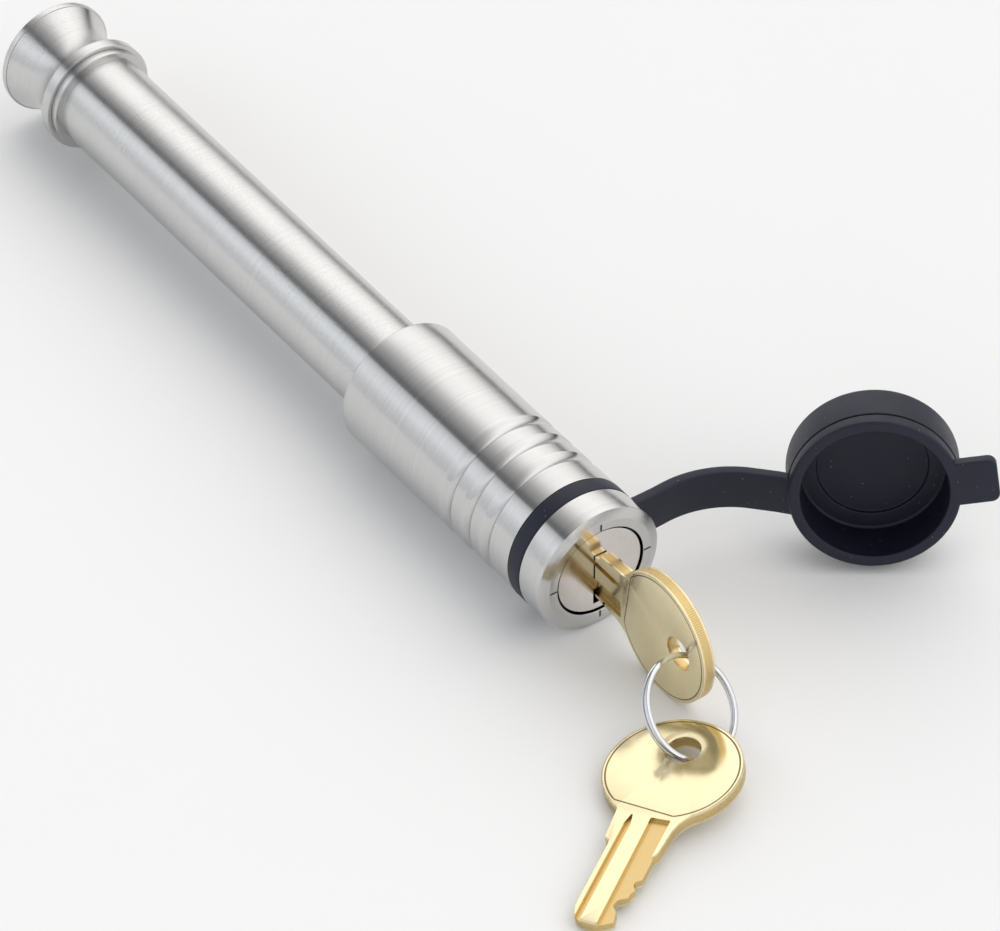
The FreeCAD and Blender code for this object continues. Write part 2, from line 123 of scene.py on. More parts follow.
# keys: u from the bow's centre to the tip, v across, w through the thickness
BOW_R = 10.7
BOW_STEPS = 144
BOW_CUT_END = (8.6, -6.37)
BOW_BACK_END = (9.29, 5.31)
KEY_T = 2.1
KEY_EDGE = 0.09
KEY_HOLE = (-4.2, 2.75)             # u and radius
HOLE_STEPS = 64
BORDER_R = 10.12
CHORD_U = 8.85
CHORD_SLOPE = 0.141
GROOVE_DEPTH = 0.7
PAST_KEY = 35.0
SPARE_BOW = (6.99, -8.15, -3.53)    # from the ring's centre
SPARE_HEADING = (0.5373, -0.8434)
SPARE_DIP = math.radians(2.69)
SPARE_ROLL = math.radians(8.90)

# split ring
RING_AT = joint_point("spare_swing")
RING_AXIS = Vector(JOINTS["spare_swing"]["axis"]).normalized()
RING_R = 8.13
WIRE_HALF = (0.38, 0.27)
WIRE_CORNER = 0.18
RING_TURNS = 4 * math.pi - 0.30
RING_STEPS = 360
RING_START = 0.62                   # first wire end, past the spare key's hole
CROSSOVER = (2 * math.pi - 0.32, 0.30)
COIL_LIFT = (0.28, 0.12)            # least half-distance of the coils, and how much they spread
SPREAD_SIDE = (-0.578, -0.816, 0)   # where the coils stand furthest apart

# strap and cap
STRAP_T = 1.9
STRAP_HALF = 3.6
STRAP_CORNER = 0.45
STRAP_SPACING = 0.35
STRAP_X = joint_point("strap_flex").x
STRAP_ROOT_Y = joint_point("strap_flex").y
STRAP_ARC_Y = 17.0
STRAP_ARC_R = 15.7
STRAP_TURN = math.radians(50)
STRAP_TAIL = 4.2
STRAP_RISE = 1.1
STUB_REACH = 2.95                   # end of the strap inside the cap's wall, past the flex line
BEND_HALF = 1.8                     # half of each stretch of strap round a flex line
CAP_R = 13.3
CAP_LEN = 10.0
CAP_LIP = 2.3
CAP_CAVITY = (11.35, 7.9)           # radius and depth from the lip
CAP_FLOOR = (8.6, 8.5)
CAP_AT = (FACE + 13.4, 41.7, 3.5)
CAP_AZIMUTH = math.radians(-35.2)
CAP_TILT = math.radians(-8.4)
CAP_ROLL = math.radians(8.0)
TAB = (11.9, 18.9, 3.8)             # root, reach and half width


# ------------------------------------------------------------------ outlines
def rounded(points, radius, closed=False, steps=5):
    """Outline with each corner replaced by an arc; a third number on a point is its own radius."""
    out = []
    count = len(points)
    for i, point in enumerate(points):
        here = Vector(point[:2])
        size = point[2] if len(point) > 2 else radius
        if not closed and i in (0, count - 1) or size <= 0:
            out.append(here)
            continue
        before = Vector(points[i - 1][:2]) - here
        after = Vector(points[(i + 1) % count][:2]) - here
        angle = before.angle(after)
        if angle > math.pi - 0.02 or before.length < 1e-6 or after.length < 1e-6:
            out.append(here)
            continue
        reach = min(size / math.tan(angle / 2), 0.48 * before.length, 0.48 * after.length)
        size = reach * math.tan(angle / 2)
        halfway = (before.normalized() + after.normalized()).normalized()
        centre = here + halfway * (size / math.sin(angle / 2))
        start = here + before.normalized() * reach - centre
        sweep = start.angle_signed(here + after.normalized() * reach - centre)
        for k in range(steps + 1):
            turned = start.copy()
            turned.rotate(Matrix.Rotation(-sweep * k / steps, 2))
            out.append(centre + turned)
    return out


def arc_points(centre, radius, first, last, count):
    return [Vector((centre[0] + radius * math.cos(a), centre[1] + radius * math.sin(a)))
            for a in (first + (last - first) * k / count for k in range(count + 1))]


def through(a, b, c, count):
    """Points of the circle's arc from a to c that passes through b."""
    ax, ay, bx, by, cx, cy = *a, *b, *c
    d = 2 * (ax * (by - cy) + bx * (cy - ay) + cx * (ay - by))
    a2, b2, c2 = ax * ax + ay * ay, bx * bx + by * by, cx * cx + cy * cy
    ux = (a2 * (by - cy) + b2 * (cy - ay) + c2 * (ay - by)) / d
    uy = (a2 * (cx - bx) + b2 * (ax - cx) + c2 * (bx - ax)) / d
    radius = math.hypot(ax - ux, ay - uy)
    first = math.atan2(ay - uy, ax - ux)
    middle = math.atan2(by - uy, bx - ux)
    last = math.atan2(cy - uy, cx - ux)
    turn = 2 * math.pi
    if (middle - first) % turn < (last - first) % turn:
        last = first + (last - first) % turn
    else:
        last = first - (first - last) % turn
    return arc_points((ux, uy), radius, first, last, count)


# ------------------------------------------------------------------ meshes
def finish_mesh(name, bm, sharp=30.0, placement=None):
    """Object from a mesh in millimetres, smooth except at its sharp edges."""
    bmesh.ops.remove_doubles(bm, verts=bm.verts, dist=1e-4)
    bmesh.ops.recalc_face_normals(bm, faces=bm.faces)
    bmesh.ops.scale(bm, vec=(MM, MM, MM), verts=bm.verts)
    mesh = bpy.data.meshes.new(name)
    bm.to_mesh(mesh)
    bm.free()
    mesh.shade_smooth()
    mesh.set_sharp_from_angle(angle=math.radians(sharp))
    obj = bpy.data.objects.new(name, mesh)
    bpy.context.scene.collection.objects.link(obj)
    if placement is not None:
        obj.matrix_world = placement
    return obj


def add_lathe(bm, profile, closed, segments=192):
    """Surface of revolution about X through profile points (x, radius)."""
    rings = []
    for k in range(segments):
        angle = 2 * math.pi * k / segments
        rings.append([bm.verts.new((p[0], p[1] * math.cos(angle), p[1] * math.sin(angle))) for p in profile])
    count = len(profile)
    for k in range(segments):
        a, b = rings[k], rings[(k + 1) % segments]
        for i in range(count if closed else count - 1):
            j = (i + 1) % count
            corners = [a[i], a[j], b[j], b[i]]
            if profile[i][1] < 1e-6:
                corners = [a[i], a[j], b[j]]
            elif profile[j][1] < 1e-6:
                corners = [a[i], a[j], b[i]]
            bm.faces.new(corners)


def add_skin(bm, rows):
    """Faces between rows of points that each run round a closed section."""
    count = len(rows[0])
    for a, b in zip(rows, rows[1:]):
        for i in range(count):
            j = (i + 1) % count
            bm.faces.new((a[i], a[j], b[j], b[i]))


def shifted(loop, inset):
    """Loop moved towards its own inside (material on the left of its direction)."""
    out = []
    count = len(loop)
    for i in range(count):
        before = (loop[i] - loop[i - 1]).normalized()
        after = (loop[(i + 1) % count] - loop[i]).normalized()
        left_a = Vector((-before.y, before.x))
        left_b = Vector((-after.y, after.x))
        mitre = (left_a + left_b) / max(1 + left_a.dot(left_b), 0.35)
        out.append(loop[i] + mitre * inset)
    return out


def add_prism(bm, loops, low, high, bevel, to_row=None, steps=3):
    """Flat piece with rounded edges. The first loop runs anticlockwise, and the holes clockwise."""
    layers = []
    for k in range(steps + 1):
        a = math.pi / 2 * k / steps
        layers.append((low + bevel * (1 - math.cos(a)), bevel * (1 - math.sin(a))))
    layers += [(low + high - z, inset) for z, inset in reversed(layers)]
    place = to_row or (lambda p, z: (p.x, p.y, z))
    ends = []
    for loop in loops:
        rows = [[bm.verts.new(place(p, z)) for p in shifted(loop, inset)] for z, inset in layers]
        add_skin(bm, rows)
        ends.append((rows[0], rows[-1]))
    for side in (0, 1):
        edges = []
        for pair in ends:
            row = pair[side]
            edges += [bm.edges.get((row[i], row[(i + 1) % len(row)])) for i in range(len(row))]
        bmesh.ops.triangle_fill(bm, use_beauty=True, edges=edges)


def cut_by(obj, cutter):
    """Takes the cutter's shape out of obj for good."""
    modifier = obj.modifiers.new("cut", "BOOLEAN")
    modifier.operation = "DIFFERENCE"
    modifier.solver = "EXACT"
    modifier.object = cutter
    bpy.context.view_layer.update()
    graph = bpy.context.evaluated_depsgraph_get()
    mesh = bpy.data.meshes.new_from_object(obj.evaluated_get(graph))
    obj.modifiers.clear()
    obj.data = mesh
    mesh.shade_smooth()
    mesh.set_sharp_from_angle(angle=math.radians(30))
    bpy.data.objects.remove(cutter)


# ------------------------------------------------------------------ node materials
class Graph:
    """Short way to write a node material."""

    def __init__(self, name, world=False):
        self.holder = (bpy.data.worlds if world else bpy.data.materials).new(name)
        self.holder.use_nodes = True
        self.tree = self.holder.node_tree
        self.tree.nodes.clear()

    def node(self, kind, settings=None, **inputs):
        made = self.tree.nodes.new(kind)
        for key, value in (settings or {}).items():
            setattr(made, key, value)
        for key, value in inputs.items():
            self.put(made, key.replace("_", " "), value)
        return made

    def put(self, node, name, value):
        socket = node.inputs[int(name)] if name.isdigit() else node.inputs[name]
        if isinstance(value, bpy.types.NodeSocket):
            self.tree.links.new(value, socket)
        else:
            socket.default_value = value

    def math(self, operation, a, b=0.0, c=0.0):
        made = self.tree.nodes.new("ShaderNodeMath")
        made.operation = operation
        for socket, value in zip(made.inputs, (a, b, c)):
            if isinstance(value, bpy.types.NodeSocket):
                self.tree.links.new(value, socket)
            else:
                socket.default_value = value
        return made.outputs[0]

    def step(self, value, low, high, to_low=0.0, to_high=1.0):
        made = self.node("ShaderNodeMapRange", {"interpolation_type": "SMOOTHSTEP"}, Value=value,
                         From_Min=low, From_Max=high, To_Min=to_low, To_Max=to_high)
        return made.outputs["Result"]

    def noise(self, vector, scale, detail=3.0, roughness=0.55, dimensions="3D"):
        made = self.node("ShaderNodeTexNoise", {"noise_dimensions": dimensions}, Scale=scale, Detail=detail,
                         Roughness=roughness)
        self.put(made, "W" if dimensions == "1D" else "Vector", vector)
        return made.outputs[0]

    def place(self):
        """Object coordinates in millimetres, as a vector and its three parts."""
        coord = self.node("ShaderNodeTexCoord").outputs["Object"]
        scaled = self.node("ShaderNodeVectorMath", {"operation": "SCALE"}, **{"0": coord, "Scale": 1 / MM})
        parts = self.node("ShaderNodeSeparateXYZ", **{"0": scaled.outputs[0]})
        return scaled.outputs[0], parts.outputs[0], parts.outputs[1], parts.outputs[2]

    def mix(self, factor, a, b):
        made = self.node("ShaderNodeMix", {"data_type": "RGBA"})
        for index, value in ((0, factor), (6, a), (7, b)):
            if isinstance(value, bpy.types.NodeSocket):
                self.tree.links.new(value, made.inputs[index])
            else:
                made.inputs[index].default_value = value
        return made.outputs[2]

    def bump(self, height, distance):
        return self.node("ShaderNodeBump", Height=height, Distance=distance * MM, Strength=1.0).outputs[0]

    def radius(self, a, b):
        return self.math("SQRT", self.math("ADD", self.math("MULTIPLY", a, a), self.math("MULTIPLY", b, b)))

    def shade(self, tone, color):
        """The colour darkened by tone."""
        return self.mix(tone, BLACK, rgb(*color))

    def surface(self, **inputs):
        shader = self.node("ShaderNodeBsdfPrincipled", **inputs)
        self.node("ShaderNodeOutputMaterial", Surface=shader.outputs[0])
        return self.holder


def rgb(r, g, b):
    return (r, g, b, 1.0)


BLACK = rgb(0, 0, 0)


def turned_steel(name, color, roughness, line_depth, streaks, grain, speckle, nose=False):
    """Steel turned about X: fine rings of slightly different height, tone and roughness."""
    g = Graph(name)
    where, x, y, z = g.place()
    fine = g.noise(x, 4.5, 4.0, 0.75, "1D")
    coarse = g.noise(x, 1.3, 3.0, 0.5, "1D")
    cloud = g.noise(where, 0.16, 3.0)
    grit = g.noise(where, 3.2, 3.0, 0.7)
    tone = g.math("MULTIPLY_ADD", fine, streaks, 1.0 - streaks)
    tone = g.math("MULTIPLY", tone, g.math("MULTIPLY_ADD", coarse, streaks, 1.0 - 0.5 * streaks))
    tone = g.math("MULTIPLY", tone, g.math("MULTIPLY_ADD", grit, speckle, 1.0 - 0.5 * speckle))
    tone = g.math("MULTIPLY", tone, g.math("MULTIPLY_ADD", cloud, 0.10, 0.95))
    base = g.shade(tone, color)
    rough = g.math("MULTIPLY_ADD", coarse, 0.08, roughness - 0.04)
    rough = g.math("ADD", rough, g.math("MULTIPLY", g.math("SUBTRACT", grit, 0.5), 0.08))
    height = g.math("ADD", fine, g.math("MULTIPLY", grit, grain))
    if nose:
        base, height = nose_marks_and_gap_shade(g, x, y, z, base, height)
    tangent = g.node("ShaderNodeTangent", {"direction_type": "RADIAL", "axis": "X"}).outputs[0]
    return g.surface(Base_Color=base, Metallic=1.0, Roughness=rough, Anisotropic=0.85,
                     Anisotropic_Rotation=0.25, Tangent=tangent, Normal=g.bump(height, line_depth))


def nose_marks_and_gap_shade(g, x, y, z, base, height):
    """Four short marks cut across the front of the nose, and painted shade on the mouth's wall for the gap
    round the plug.
    """
    radius = g.radius(y, z)
    near = g.math("MINIMUM", g.math("ABSOLUTE", y), g.math("ABSOLUTE", z))
    inner, outer = MARK_RADII
    mark = g.step(near, MARK_HALF - 0.04, MARK_HALF + 0.04, 1.0, 0.0)
    mark = g.math("MULTIPLY", mark, g.step(x, FACE - 0.35, FACE - 0.25))
    mark = g.math("MULTIPLY", mark, g.step(radius, outer - 0.075, outer + 0.075, 1.0, 0.0))
    mark = g.math("MULTIPLY", mark, g.step(radius, inner - 0.05, inner + 0.05))
    base = g.mix(mark, base, rgb(0.05, 0.05, 0.055))
    height = g.math("SUBTRACT", height, g.math("MULTIPLY", mark, 8.0))
    # painted shade: the mouth's inner wall just behind the face is painted near black for the shade in the
    # gap round the plug
    gap = g.step(radius, MOUTH_R - 0.01, MOUTH_R + 0.03, 1.0, 0.0)
    gap = g.math("MULTIPLY", gap, g.step(x, FACE - 0.12, FACE - 0.04, 1.0, 0.0))
    gap = g.math("MULTIPLY", gap, g.step(x, FACE - 3.0, FACE - 2.0))
    return g.mix(gap, base, rgb(0.012, 0.012, 0.013)), height


def milled_metal(name, color, roughness, lines, depth):
    """Plain machined metal with faint tool lines and clouding."""
    g = Graph(name)
    where, x, y, _ = g.place()
    line = g.noise(g.math("ADD", x, g.math("MULTIPLY", y, 0.35)), lines, 3.0, 0.6, "1D")
    cloud = g.noise(where, 0.7, 4.0)
    tone = g.math("MULTIPLY_ADD", cloud, 0.22, g.math("MULTIPLY_ADD", line, 0.08, 0.80))
    rough = g.math("MULTIPLY_ADD", cloud, 0.16, roughness - 0.06)
    return g.surface(Base_Color=g.shade(tone, color), Metallic=1.0, Roughness=rough,
                     Normal=g.bump(line, depth))


def polished_disc(name):
    """Faced and polished front of the plug, with fine rings about X and faint clouding."""
    g = Graph(name)
    where, _, y, z = g.place()
    ring = g.noise(g.radius(y, z), 7.0, 3.0, 0.6, "1D")
    cloud = g.noise(where, 0.9, 4.0)
    tone = g.math("MULTIPLY_ADD", cloud, 0.16, g.math("MULTIPLY_ADD", ring, 0.08, 0.80))
    rough = g.math("MULTIPLY_ADD", cloud, 0.14, 0.10)
    return g.surface(Base_Color=g.shade(tone, (0.76, 0.72, 0.70)), Metallic=1.0, Roughness=rough,
                     Normal=g.bump(ring, 0.004))


def key_lines(g, u, v, w, radius):
    """How far a point is in the engraved border: a circle closed by a slanting line near the blade."""
    face = g.step(g.math("ABSOLUTE", w), KEY_T / 2 - 0.06, KEY_T / 2 - 0.02)
    border = g.step(g.math("ABSOLUTE", g.math("SUBTRACT", radius, BORDER_R)), 0.06, 0.15, 1.0, 0.0)
    reach = g.math("ADD", u, g.math("MULTIPLY", v, CHORD_SLOPE))
    border = g.math("MULTIPLY", border, g.step(reach, CHORD_U - 0.05, CHORD_U + 0.05, 1.0, 0.0))
    chord = g.step(g.math("ABSOLUTE", g.math("SUBTRACT", reach, CHORD_U)), 0.06, 0.15, 1.0, 0.0)
    chord = g.math("MULTIPLY", chord, g.step(radius, BORDER_R, BORDER_R + 0.1, 1.0, 0.0))
    return g.math("MULTIPLY", g.math("MAXIMUM", border, chord), face)


def key_brass(name):
    """Stamped and polished brass: engraved border, buffing lines, reeded edge, and painted shade on the
    milled cuts, which are also rougher.
    """
    g = Graph(name)
    where, u, v, w = g.place()
    radius = g.radius(u, v)
    buff = g.noise(g.math("ADD", v, g.math("MULTIPLY", u, 0.12)), 6.0, 3.0, 0.6, "1D")
    cloud = g.noise(where, 0.35, 4.0)
    fine = g.noise(where, 9.0, 3.0, 0.6)
    line = key_lines(g, u, v, w, radius)
    reeds = g.math("SINE", g.math("MULTIPLY", g.math("ARCTAN2", v, u), 190.0))
    on_edge = g.math("MULTIPLY", g.step(radius, 10.45, 10.6), g.step(u, 8.0, 9.0, 1.0, 0.0))
    reeds = g.math("MULTIPLY", reeds, on_edge)
    tone = g.math("MULTIPLY_ADD", cloud, 0.24, g.math("MULTIPLY_ADD", fine, 0.08, 0.72))
    base = g.mix(tone, rgb(0.42, 0.28, 0.09), rgb(0.86, 0.765, 0.50))
    # painted shade: the floors of the milled groove and step, and the middle of the key's edges, are darkened
    # to brown for the shade in them; their extra roughness is the real milled finish
    sunk_shade_and_finish = g.math("MULTIPLY", g.step(g.math("ABSOLUTE", w), 0.55, 0.85, 1.0, 0.0), 0.75)
    base = g.mix(sunk_shade_and_finish, base, g.mix(fine, rgb(0.44, 0.27, 0.07), rgb(0.70, 0.50, 0.19)))
    base = g.mix(g.math("MULTIPLY", line, 0.85), base, rgb(0.10, 0.06, 0.02))
    rough = g.math("MULTIPLY_ADD", cloud, 0.12, g.math("MULTIPLY_ADD", fine, 0.08, 0.06))
    rough = g.math("MULTIPLY_ADD", sunk_shade_and_finish, 0.16, rough)
    height = g.math("ADD", g.math("MULTIPLY", buff, 0.10), g.math("MULTIPLY", fine, 0.10))
    height = g.math("SUBTRACT", height, g.math("MULTIPLY", line, 6.0))
    height = g.math("ADD", height, g.math("MULTIPLY", reeds, 3.0))
    return g.surface(Base_Color=base, Metallic=1.0, Roughness=rough, Normal=g.bump(height, 0.012))


def wire_chrome(name):
    """Bright drawn wire with patches of faint wear."""
    g = Graph(name)
    where = g.place()[0]
    wear = g.noise(where, 1.6, 4.0, 0.6)
    fine = g.noise(where, 11.0, 2.0)
    tone = g.math("MULTIPLY_ADD", wear, 0.16, g.math("MULTIPLY_ADD", fine, 0.06, 0.80))
    rough = g.math("MULTIPLY_ADD", wear, 0.10, 0.03)
    return g.surface(Base_Color=g.shade(tone, (0.74, 0.75, 0.78)), Metallic=1.0, Roughness=rough,
                     Normal=g.bump(fine, 0.004))


def moulded_rubber(name, color, dust):
    """Moulded rubber with a fine grain, duller patches and specks of dust."""
    g = Graph(name)
    where = g.place()[0]
    grain = g.noise(where, 5.0, 4.0, 0.6)
    cloud = g.noise(where, 0.25, 4.0)
    cells = g.node("ShaderNodeTexVoronoi", {"feature": "F1"}, Vector=where, Scale=1.2, Randomness=1.0)
    picked = g.node("ShaderNodeSeparateXYZ", **{"0": cells.outputs["Color"]}).outputs[0]
    size = g.step(picked, 0.5, 1.0, 0.0, 0.11)
    speck = g.math("MULTIPLY", g.math("LESS_THAN", cells.outputs["Distance"], size), dust)
    base = g.mix(cloud, rgb(*(0.75 * c for c in color)), rgb(*(1.35 * c for c in color)))
    base = g.mix(g.math("MULTIPLY", speck, 0.55), base, rgb(0.30, 0.31, 0.34))
    rough = g.math("MULTIPLY_ADD", cloud, 0.18, g.math("MULTIPLY_ADD", grain, 0.12, 0.34))
    height = g.math("ADD", grain, g.math("MULTIPLY", speck, 0.6))
    return g.surface(Base_Color=base, Roughness=rough, Specular_IOR_Level=0.46,
                     Specular_Tint=rgb(0.86, 0.89, 1.0), Normal=g.bump(height, 0.02))


def pale_floor(name):
    g = Graph(name)
    where = g.place()[0]
    grain = g.noise(where, 0.02, 3.0)
    base = g.mix(grain, rgb(0.92, 0.92, 0.92), rgb(0.94, 0.94, 0.94))
    return g.surface(Base_Color=base, Roughness=0.6, Specular_IOR_Level=0.2)


STEEL_HEAD = turned_steel("turned_steel_head", (0.62, 0.615, 0.61), roughness=0.17, line_depth=0.009,
                          streaks=0.12, grain=0.03, speckle=0.06, nose=True)
STEEL_PIN = turned_steel("turned_steel_pin", (0.63, 0.625, 0.62), roughness=0.20, line_depth=0.016,
                         streaks=0.10, grain=0.9, speckle=0.30)
STEEL_INNER = milled_metal("machined_steel", (0.55, 0.56, 0.58), roughness=0.30, lines=4.0, depth=0.008)
WAFER_BRASS = milled_metal("wafer_brass", (0.80, 0.62, 0.30), roughness=0.30, lines=6.0, depth=0.006)
PLUG_FACE = polished_disc("polished_plug")
KEY_BRASS = key_brass("polished_brass")
WIRE = wire_chrome("bright_wire")
RUBBER = moulded_rubber("blue_black_rubber", (0.0052, 0.0058, 0.0155), dust=1.0)
SEAL = moulded_rubber("seal_rubber", (0.008, 0.008, 0.009), dust=0.0)


def dress(obj, material, slot, body=None, nodes=()):
    obj.data.materials.clear()
    obj.data.materials.append(material)
    if body:
        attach(obj, body)
    if nodes:
        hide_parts(*nodes)
    return obj


# ------------------------------------------------------------------ hitch pin
def make_pin():
    step_back = COLLAR_FRONT - COLLAR_STEP_LEN
    collar_back = step_back - COLLAR_LEN
    neck_back = collar_back - NECK_LEN
    middle = (neck_back + collar_back) / 2
    step_cut, step_depth = STEP_UNDERCUT
    shaft_cut, shaft_depth = SHAFT_UNDERCUT
    neck_from, neck_to = STUD_NECK
    tip = PIN_HIGH.x
    flare = through((neck_back, COLLAR_R), (middle, NECK_R), (collar_back, COLLAR_R), 48)
    grip = rounded([(PIN_LOW.x, 0), (PIN_LOW.x, LIP_R, 0.35), (neck_back, LIP_R, 0.12),
                    (neck_back, COLLAR_R - LIP_STEP, 0.02)], 0.1)
    collar = [(collar_back, COLLAR_R, 0), (collar_back + 0.001, COLLAR_R, 0), (step_back, COLLAR_R, 0.12),
              (step_back, STEP_R - step_depth, 0.02), (step_back + step_cut, STEP_R - step_depth, 0.02),
              (step_back + step_cut, STEP_R, 0.08), (COLLAR_FRONT, STEP_R, 0.12),
              (COLLAR_FRONT, PIN_R - shaft_depth, 0.02),
              (COLLAR_FRONT + shaft_cut, PIN_R - shaft_depth, 0.02)]
    shaft = [(COLLAR_FRONT + shaft_cut + SHAFT_BEVEL, PIN_R, 0.1), (REAR - END_STEP, PIN_R, 0.06),
             (REAR - END_STEP, END_R, 0.04), (SHAFT_END - END_BEVEL, END_R, 0.2),
             (SHAFT_END, END_R - END_BEVEL, 0.1), (SHAFT_END, STUD_R, 0.1)]
    stud = [(neck_from, STUD_R, 0.1), (neck_from, STUD_NECK_R, 0.15), (neck_to, STUD_NECK_R, 0.15),
            (neck_to, STUD_R, 0.1), (tip - END_BEVEL, STUD_R, 0.15), (tip, STUD_R - END_BEVEL, 0.15),
            (tip, 0)]
    bm = bmesh.new()
    add_lathe(bm, grip + flare[1:-1] + rounded(collar + shaft + stud, 0.1), False)
    return finish_mesh("pin_body", bm)


def make_head():
    split = REAR + HEAD_SPLIT
    profile = rounded([(split, BORE_R), (REAR, BORE_R, 0.12), (REAR, HEAD_R, 0.45), (split, HEAD_R)], 0.1)
    for k in range(GRIP_GROOVES):
        x0 = GRIP_FIRST + GRIP_PITCH * k
        bottom = (x0 + GRIP_WIDTH / 2, HEAD_R - GRIP_DEPTH)
        profile += through((x0, HEAD_R), bottom, (x0 + GRIP_WIDTH, HEAD_R), 16)
    slot_from, slot_to = BAND_SLOT
    wall_from, wall_to = WALL
    bevel_len, bevel_depth = NOSE_BEVEL
    mouth = FACE - MOUTH_DEPTH
    outside = [(slot_from - 0.2, HEAD_R), (slot_from, HEAD_R, 0.08), (slot_from, BAND_FLOOR, 0.05),
               (slot_to, BAND_FLOOR, 0.05), (slot_to, HEAD_R, 0.08), (FACE - bevel_len, HEAD_R, 0.08),
               (FACE, HEAD_R - bevel_depth, 0.07)]
    inside = [(FACE, MOUTH_R, 0.08), (mouth, MOUTH_R, 0.05), (mouth, INNER_R, 0.05), (wall_to, INNER_R, 0.05),
              (wall_to, WALL_HOLE_R, 0.05), (wall_from, WALL_HOLE_R, 0.05), (wall_from, INNER_R, 0.05),
              (BORE_END, INNER_R, 0.05), (BORE_END, BORE_R)]
    bm = bmesh.new()
    add_lathe(bm, profile + rounded(outside + inside, 0.08), True, 224)
    return finish_mesh("head_body", bm)


# ------------------------------------------------------------------ keys and ring
def key_outline():
    """Anticlockwise outline of a key, with softened corners."""
    first = math.atan2(BOW_BACK_END[1], BOW_BACK_END[0])
    last = 2 * math.pi + math.atan2(BOW_CUT_END[1], BOW_CUT_END[0])
    bow = arc_points((0, 0), BOW_R, first, last, BOW_STEPS)
    shoulder = [(9.4, -5.75, 0.4), (10.5, -5.15, 0.6), (12.0, -4.75, 1.0), (16.4, -4.4, 0.125),
                (17.2, -4.25, 0.15), (17.9, -3.8, 0.25), (22.2, -3.8, 0.15)]
    cuts = [(22.9, -2.95, 0.125), (23.65, -3.0, 0.125), (24.55, -3.6, 0.1), (25.35, -3.15, 0.125),
            (26.1, -3.2, 0.125), (26.95, -1.8, 0.15), (28.05, -1.5, 0.175), (29.35, -2.5, 0.15)]
    tip = [(31.4, -2.9, 0.4), (32.8, -0.4, 0.5), (32.5, 1.7, 0.6), (31.6, 3.2, 0.4), (29.8, 3.7, 0.5)]
    back = [(17.0, 3.7, 0.15), (16.05, 3.8, 0.1), (15.6, 4.7, 0.15), (9.9, 5.1, 0.3)]
    blade = shoulder + cuts + tip + back
    points = [tuple(bow[-2])] + [tuple(bow[-1]) + (0.3,)] + blade + [tuple(bow[0])]
    return bow[1:-2] + rounded(points, 0.3)


def make_key(name, placement):
    low = -KEY_T / 2
    hole = arc_points((KEY_HOLE[0], 0), KEY_HOLE[1], 2 * math.pi, 2 * math.pi / HOLE_STEPS, HOLE_STEPS - 1)
    bm = bmesh.new()
    add_prism(bm, [key_outline(), hole], low, -low, KEY_EDGE)
    key = finish_mesh(name, bm)
    groove = rounded([(9.7, 2.42, 0.15), (12.2, 1.87, 2.0), (PAST_KEY, 1.87, 0), (PAST_KEY, 2.95, 0),
                      (12.2, 2.95, 2.0)], 0.5, closed=True)
    step = rounded([(10.3, -3.76, 0.15), (17.9, -3.76, 0.1), (17.9, -6.0, 0), (PAST_KEY, -6.0, 0),
                    (PAST_KEY, -0.85, 0), (10.3, -0.6, 0.15)], 0.3, closed=True)
    for outline in (groove, step):
        bm = bmesh.new()
        add_prism(bm, [outline], low - 0.6, low + GROOVE_DEPTH, 0.05, steps=1)
        cut_by(key, finish_mesh("cutter", bm))
    key.matrix_world = placement
    return key


def frame_of(centre, along, across):
    """Placement with u along, v across, and the centre given in millimetres."""
    u = along.normalized()
    v = across.normalized()
    w = u.cross(v)
    at = centre * MM
    return Matrix(((u.x, v.x, w.x, at.x), (u.y, v.y, w.y, at.y), (u.z, v.z, w.z, at.z), (0, 0, 0, 1)))


def inserted_frame():
    centre = Vector((KEY_HIGH.x - BOW_R, (KEY_LOW.y + KEY_HIGH.y) / 2, (KEY_LOW.z + KEY_HIGH.z) / 2))
    return frame_of(centre, Vector((-1, 0, 0)), Vector((0, 0, 1)))


def spare_frame():
    east, north = SPARE_HEADING
    along = Vector((east * math.cos(SPARE_DIP), north * math.cos(SPARE_DIP), -math.sin(SPARE_DIP)))
    level = Vector((north, -east, 0))
    across = level * math.cos(SPARE_ROLL) + along.cross(level) * math.sin(SPARE_ROLL)
    return frame_of(RING_AT + Vector(SPARE_BOW), along, across)


def make_ring():
    """Two coils of flat wire with a crossover, both wire ends showing."""
    side = RING_AXIS.orthogonal().normalized()
    up = RING_AXIS.cross(side)
    placement = frame_of(RING_AT, side, up)
    spare_hole = spare_frame() @ Vector((KEY_HOLE[0] * MM, 0, 0)) - RING_AT * MM
    start = math.atan2(spare_hole.dot(up), spare_hole.dot(side)) + RING_START
    wide, high = WIRE_HALF
    section = rounded([(-wide, -high), (wide, -high), (wide, high), (-wide, high)], WIRE_CORNER, closed=True,
                      steps=4)
    spread = Vector(SPREAD_SIDE)
    widest = math.atan2(spread.dot(up), spread.dot(side))
    cross_at, cross_over = CROSSOVER
    least, more = COIL_LIFT
    rows = []
    bm = bmesh.new()
    for k in range(RING_STEPS + 1):
        t = RING_TURNS * k / RING_STEPS
        rise = min(max((t - cross_at) / cross_over, 0.0), 1.0)
        a = start + t
        lift = (least + more * (1 + math.cos(a - widest))) * (2 * rise * rise * (3 - 2 * rise) - 1)
        rows.append([bm.verts.new(((RING_R + p.x) * math.cos(a), (RING_R + p.x) * math.sin(a), lift + p.y))
                     for p in section])
    add_skin(bm, rows)
    bm.faces.new(rows[0])
    bm.faces.new(rows[-1])
    return finish_mesh("ring_wire", bm, 40, placement)


# ------------------------------------------------------------------ band, strap and cap
STRAP_BEND = Vector((STRAP_X + STRAP_ARC_R, STRAP_ARC_Y))
HEADING = Vector((math.sin(STRAP_TURN), math.cos(STRAP_TURN)))
STRAP_S_ARC = STRAP_ARC_Y
STRAP_S_TAIL = STRAP_ARC_Y + STRAP_ARC_R * STRAP_TURN
STRAP_S_END = STRAP_S_TAIL + STRAP_TAIL


